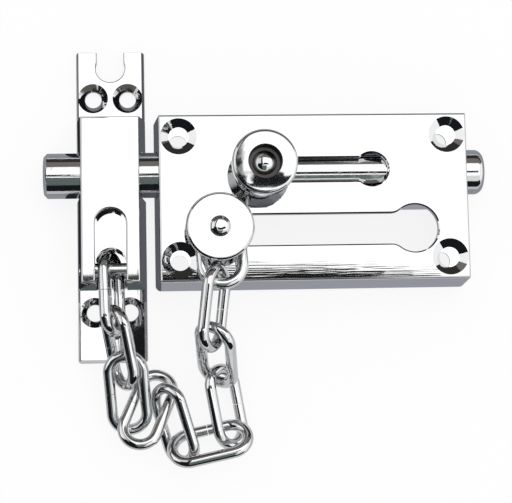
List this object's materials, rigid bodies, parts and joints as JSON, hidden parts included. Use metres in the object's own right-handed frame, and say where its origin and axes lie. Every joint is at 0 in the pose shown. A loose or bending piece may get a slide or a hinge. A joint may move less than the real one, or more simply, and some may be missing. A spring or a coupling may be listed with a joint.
{
  "type": "chain door bolt",
  "caption": "Chromed door bolt with a round sliding bolt and knob, a slotted keeper, and a wire-link chain whose button runs in a keyhole slot.",
  "frame": {"origin": "middle of the body's four screw holes, on the mounting plane", "axes": "+X along the bolt away from the keeper, +Y up the door, +Z out from the door"},
  "size_m": [0.1172, 0.1121, 0.029],
  "materials": {
    "chrome_casting": "polished",
    "chrome_turned": "polished",
    "chrome_wire": "polished"
  },
  "bodies": {
    "fixed": {"body_casting": "chrome_casting", "keeper_casting": "chrome_casting", "keeper_pin": "chrome_turned"},
    "bolt": {"bolt_rod": "chrome_turned", "bolt_knob": "chrome_turned", "knob_screw": "chrome_turned"},
    "button": {"button_disc": "chrome_turned", "button_stud": "chrome_turned"},
    "link_1": {"chain_link_1": "chrome_wire"},
    "link_2": {"chain_link_2": "chrome_wire"},
    "link_3": {"chain_link_3": "chrome_wire"},
    "link_4": {"chain_link_4": "chrome_wire"},
    "link_5": {"chain_link_5": "chrome_wire"},
    "link_6": {"chain_link_6": "chrome_wire"},
    "link_7": {"chain_link_7": "chrome_wire"},
    "link_8": {"chain_link_8": "chrome_wire"},
    "link_9": {"chain_link_9": "chrome_wire"},
    "ring": {"chain_end_ring": "chrome_wire"}
  },
  "joints": [
    {"name": "bolt_slide", "type": "slide", "parent": "fixed", "child": "bolt", "axis": [1, 0, 0], "range_m": [0, 0.0292]},
    {"name": "button_slide", "type": "slide", "parent": "fixed", "child": "button", "axis": [1, 0, 0], "range_m": [0, 0.0518]},
    {"name": "link_1_swing", "type": "hinge", "parent": "fixed", "child": "link_1", "pos_m": [-0.0544, -0.0179, 0.008], "axis": [0, 0, 1], "range_deg": [-1, 4.5]},
    {"name": "link_2_swing", "type": "hinge", "parent": "link_1", "child": "link_2", "pos_m": [-0.0517, -0.0321, 0.008], "axis": [0, 0, 1], "range_deg": [-1, 11.4]},
    {"name": "link_3_swing", "type": "hinge", "parent": "link_2", "child": "link_3", "pos_m": [-0.0473, -0.04228, 0.008], "axis": [0, 0, 1], "range_deg": [-1, 7.5]},
    {"name": "link_4_swing", "type": "hinge", "parent": "link_3", "child": "link_4", "pos_m": [-0.04557, -0.04985, 0.008], "axis": [0, 0, 1], "range_deg": [-1, 8.8]},
    {"name": "link_5_swing", "type": "hinge", "parent": "link_4", "child": "link_5", "pos_m": [-0.0392, -0.05386, 0.008], "axis": [0, 0, 1], "range_deg": [-1, 12.1]},
    {"name": "link_6_swing", "type": "hinge", "parent": "link_5", "child": "link_6", "pos_m": [-0.03415, -0.06768, 0.008], "axis": [0, 0, 1], "range_deg": [-42.5, 1]},
    {"name": "ring_swing", "type": "hinge", "parent": "button", "child": "ring", "pos_m": [-0.0254, -0.0086, 0.008], "axis": [0, 0, 1], "range_deg": [-39.4, 1]},
    {"name": "link_9_swing", "type": "hinge", "parent": "ring", "child": "link_9", "pos_m": [-0.02802, -0.02047, 0.008], "axis": [0, 0, 1], "range_deg": [-8.3, 1]},
    {"name": "link_8_swing", "type": "hinge", "parent": "link_9", "child": "link_8", "pos_m": [-0.02516, -0.03713, 0.008], "axis": [0, 0, 1], "range_deg": [-2, 1]},
    {"name": "link_7_swing", "type": "hinge", "parent": "link_8", "child": "link_7", "pos_m": [-0.02356, -0.04639, 0.008], "axis": [0, 0, 1], "range_deg": [-1, 8.6]}
  ],
  "couplings": [
    {"joint": "link_1_swing", "follows": "button_slide", "rad_per_m": 1.1793},
    {"joint": "link_2_swing", "follows": "button_slide", "rad_per_m": 3.5041},
    {"joint": "link_3_swing", "follows": "button_slide", "rad_per_m": 2.1901},
    {"joint": "link_4_swing", "follows": "button_slide", "rad_per_m": 2.6281},
    {"joint": "link_5_swing", "follows": "button_slide", "rad_per_m": 3.74},
    {"joint": "link_6_swing", "follows": "button_slide", "rad_per_m": -13.983},
    {"joint": "ring_swing", "follows": "button_slide", "rad_per_m": -12.938},
    {"joint": "link_9_swing", "follows": "button_slide", "rad_per_m": -2.4596},
    {"joint": "link_8_swing", "follows": "button_slide", "rad_per_m": -0.3369},
    {"joint": "link_7_swing", "follows": "button_slide", "rad_per_m": 2.5607}
  ]
}
